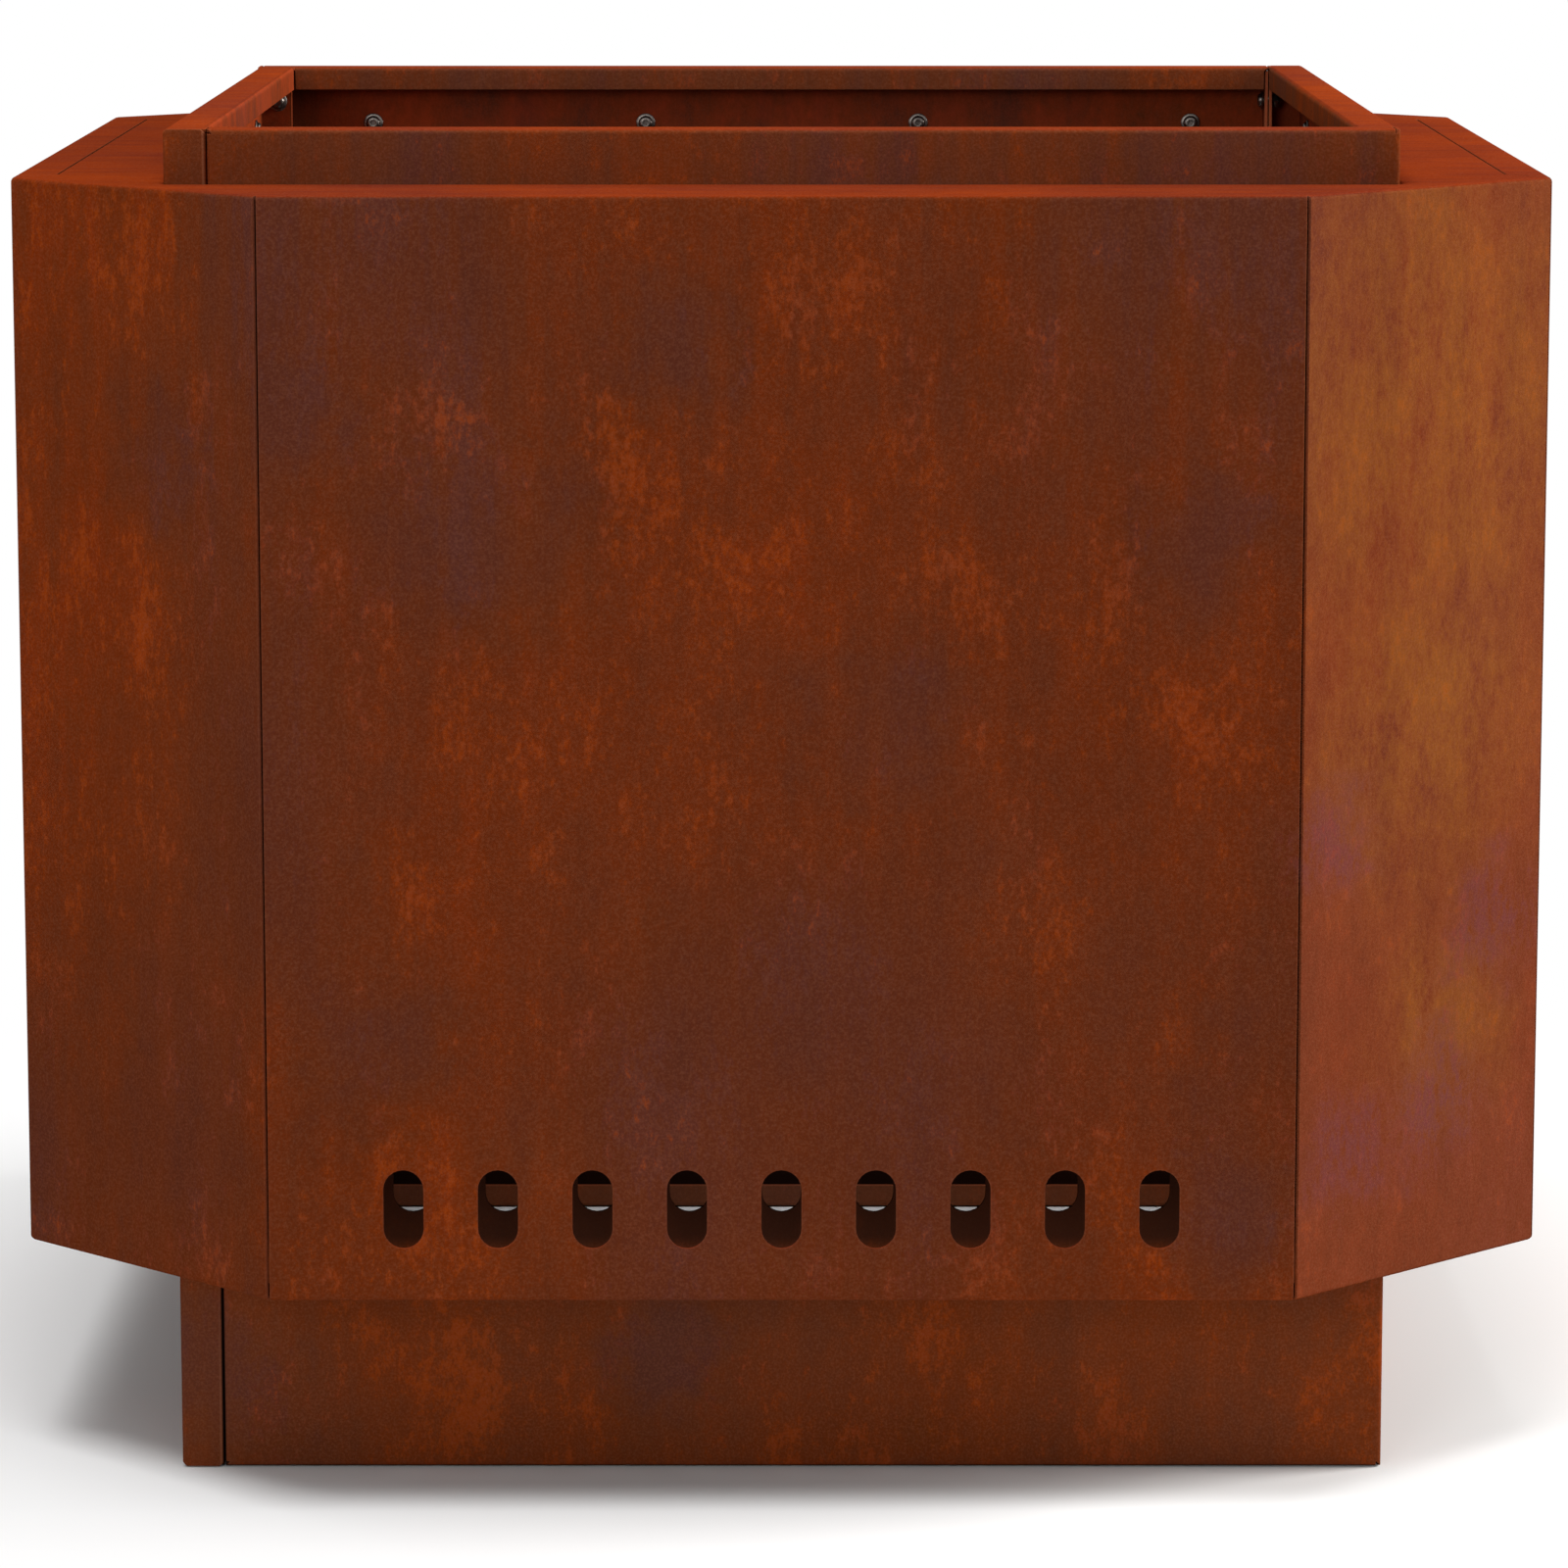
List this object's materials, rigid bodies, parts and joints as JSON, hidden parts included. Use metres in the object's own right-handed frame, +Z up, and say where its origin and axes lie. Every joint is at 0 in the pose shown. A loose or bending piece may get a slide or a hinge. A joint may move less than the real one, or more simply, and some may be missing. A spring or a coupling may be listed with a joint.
{
  "type": "fire basket",
  "caption": "Square open firebox of folded sheet steel inside a hung shell with chamfered corners, a row of air slots low on each side and a lift-out bar grate.",
  "frame": {"origin": "on the ground, under the middle of the object", "axes": "+Z up, -Y towards the pictured front, +X to its right"},
  "size_m": [0.8, 0.8, 0.703],
  "materials": {
    "shell_rust": "weathered rust",
    "firebox_rust": "weathered rust, darker",
    "grate_steel": "scorched mill scale",
    "bright_steel": "bright zinc plated"
  },
  "bodies": {
    "basket": {"firebox_wall_front": "firebox_rust", "firebox_wall_right": "firebox_rust", "firebox_wall_back": "firebox_rust", "firebox_wall_left": "firebox_rust", "outer_shell": "shell_rust", "side_panel_left": "shell_rust", "side_panel_right": "shell_rust", "grate_ledge_front": "grate_steel", "grate_ledge_right": "grate_steel", "grate_ledge_back": "grate_steel", "grate_ledge_left": "grate_steel", "shell_screw_front_1": "bright_steel", "shell_screw_front_2": "bright_steel", "shell_screw_front_3": "bright_steel", "shell_screw_front_4": "bright_steel", "shell_screw_right_1": "bright_steel", "shell_screw_right_2": "bright_steel", "shell_screw_right_3": "bright_steel", "shell_screw_right_4": "bright_steel", "shell_screw_back_1": "bright_steel", "shell_screw_back_2": "bright_steel", "shell_screw_back_3": "bright_steel", "shell_screw_back_4": "bright_steel", "shell_screw_left_1": "bright_steel", "shell_screw_left_2": "bright_steel", "shell_screw_left_3": "bright_steel", "shell_screw_left_4": "bright_steel", "corner_screw_front_left_1": "bright_steel", "corner_screw_front_left_2": "bright_steel", "corner_screw_front_left_3": "bright_steel", "corner_screw_front_left_4": "bright_steel", "corner_screw_front_right_1": "bright_steel", "corner_screw_front_right_2": "bright_steel", "corner_screw_front_right_3": "bright_steel", "corner_screw_front_right_4": "bright_steel", "corner_screw_back_right_1": "bright_steel", "corner_screw_back_right_2": "bright_steel", "corner_screw_back_right_3": "bright_steel", "corner_screw_back_right_4": "bright_steel", "corner_screw_back_left_1": "bright_steel", "corner_screw_back_left_2": "bright_steel", "corner_screw_back_left_3": "bright_steel", "corner_screw_back_left_4": "bright_steel", "ledge_screw_front_1": "bright_steel", "ledge_screw_front_2": "bright_steel", "ledge_screw_right_1": "bright_steel", "ledge_screw_right_2": "bright_steel", "ledge_screw_back_1": "bright_steel", "ledge_screw_back_2": "bright_steel", "ledge_screw_left_1": "bright_steel", "ledge_screw_left_2": "bright_steel"},
    "left_grate": {"grate_left": "grate_steel"},
    "right_grate": {"grate_right": "grate_steel"}
  },
  "joints": [
    {"name": "left_grate_lift", "type": "slide", "parent": "basket", "child": "left_grate", "axis": [0, 0, 1], "range_m": [0, 0.52]},
    {"name": "right_grate_lift", "type": "slide", "parent": "basket", "child": "right_grate", "axis": [0, 0, 1], "range_m": [0, 0.52]}
  ]
}
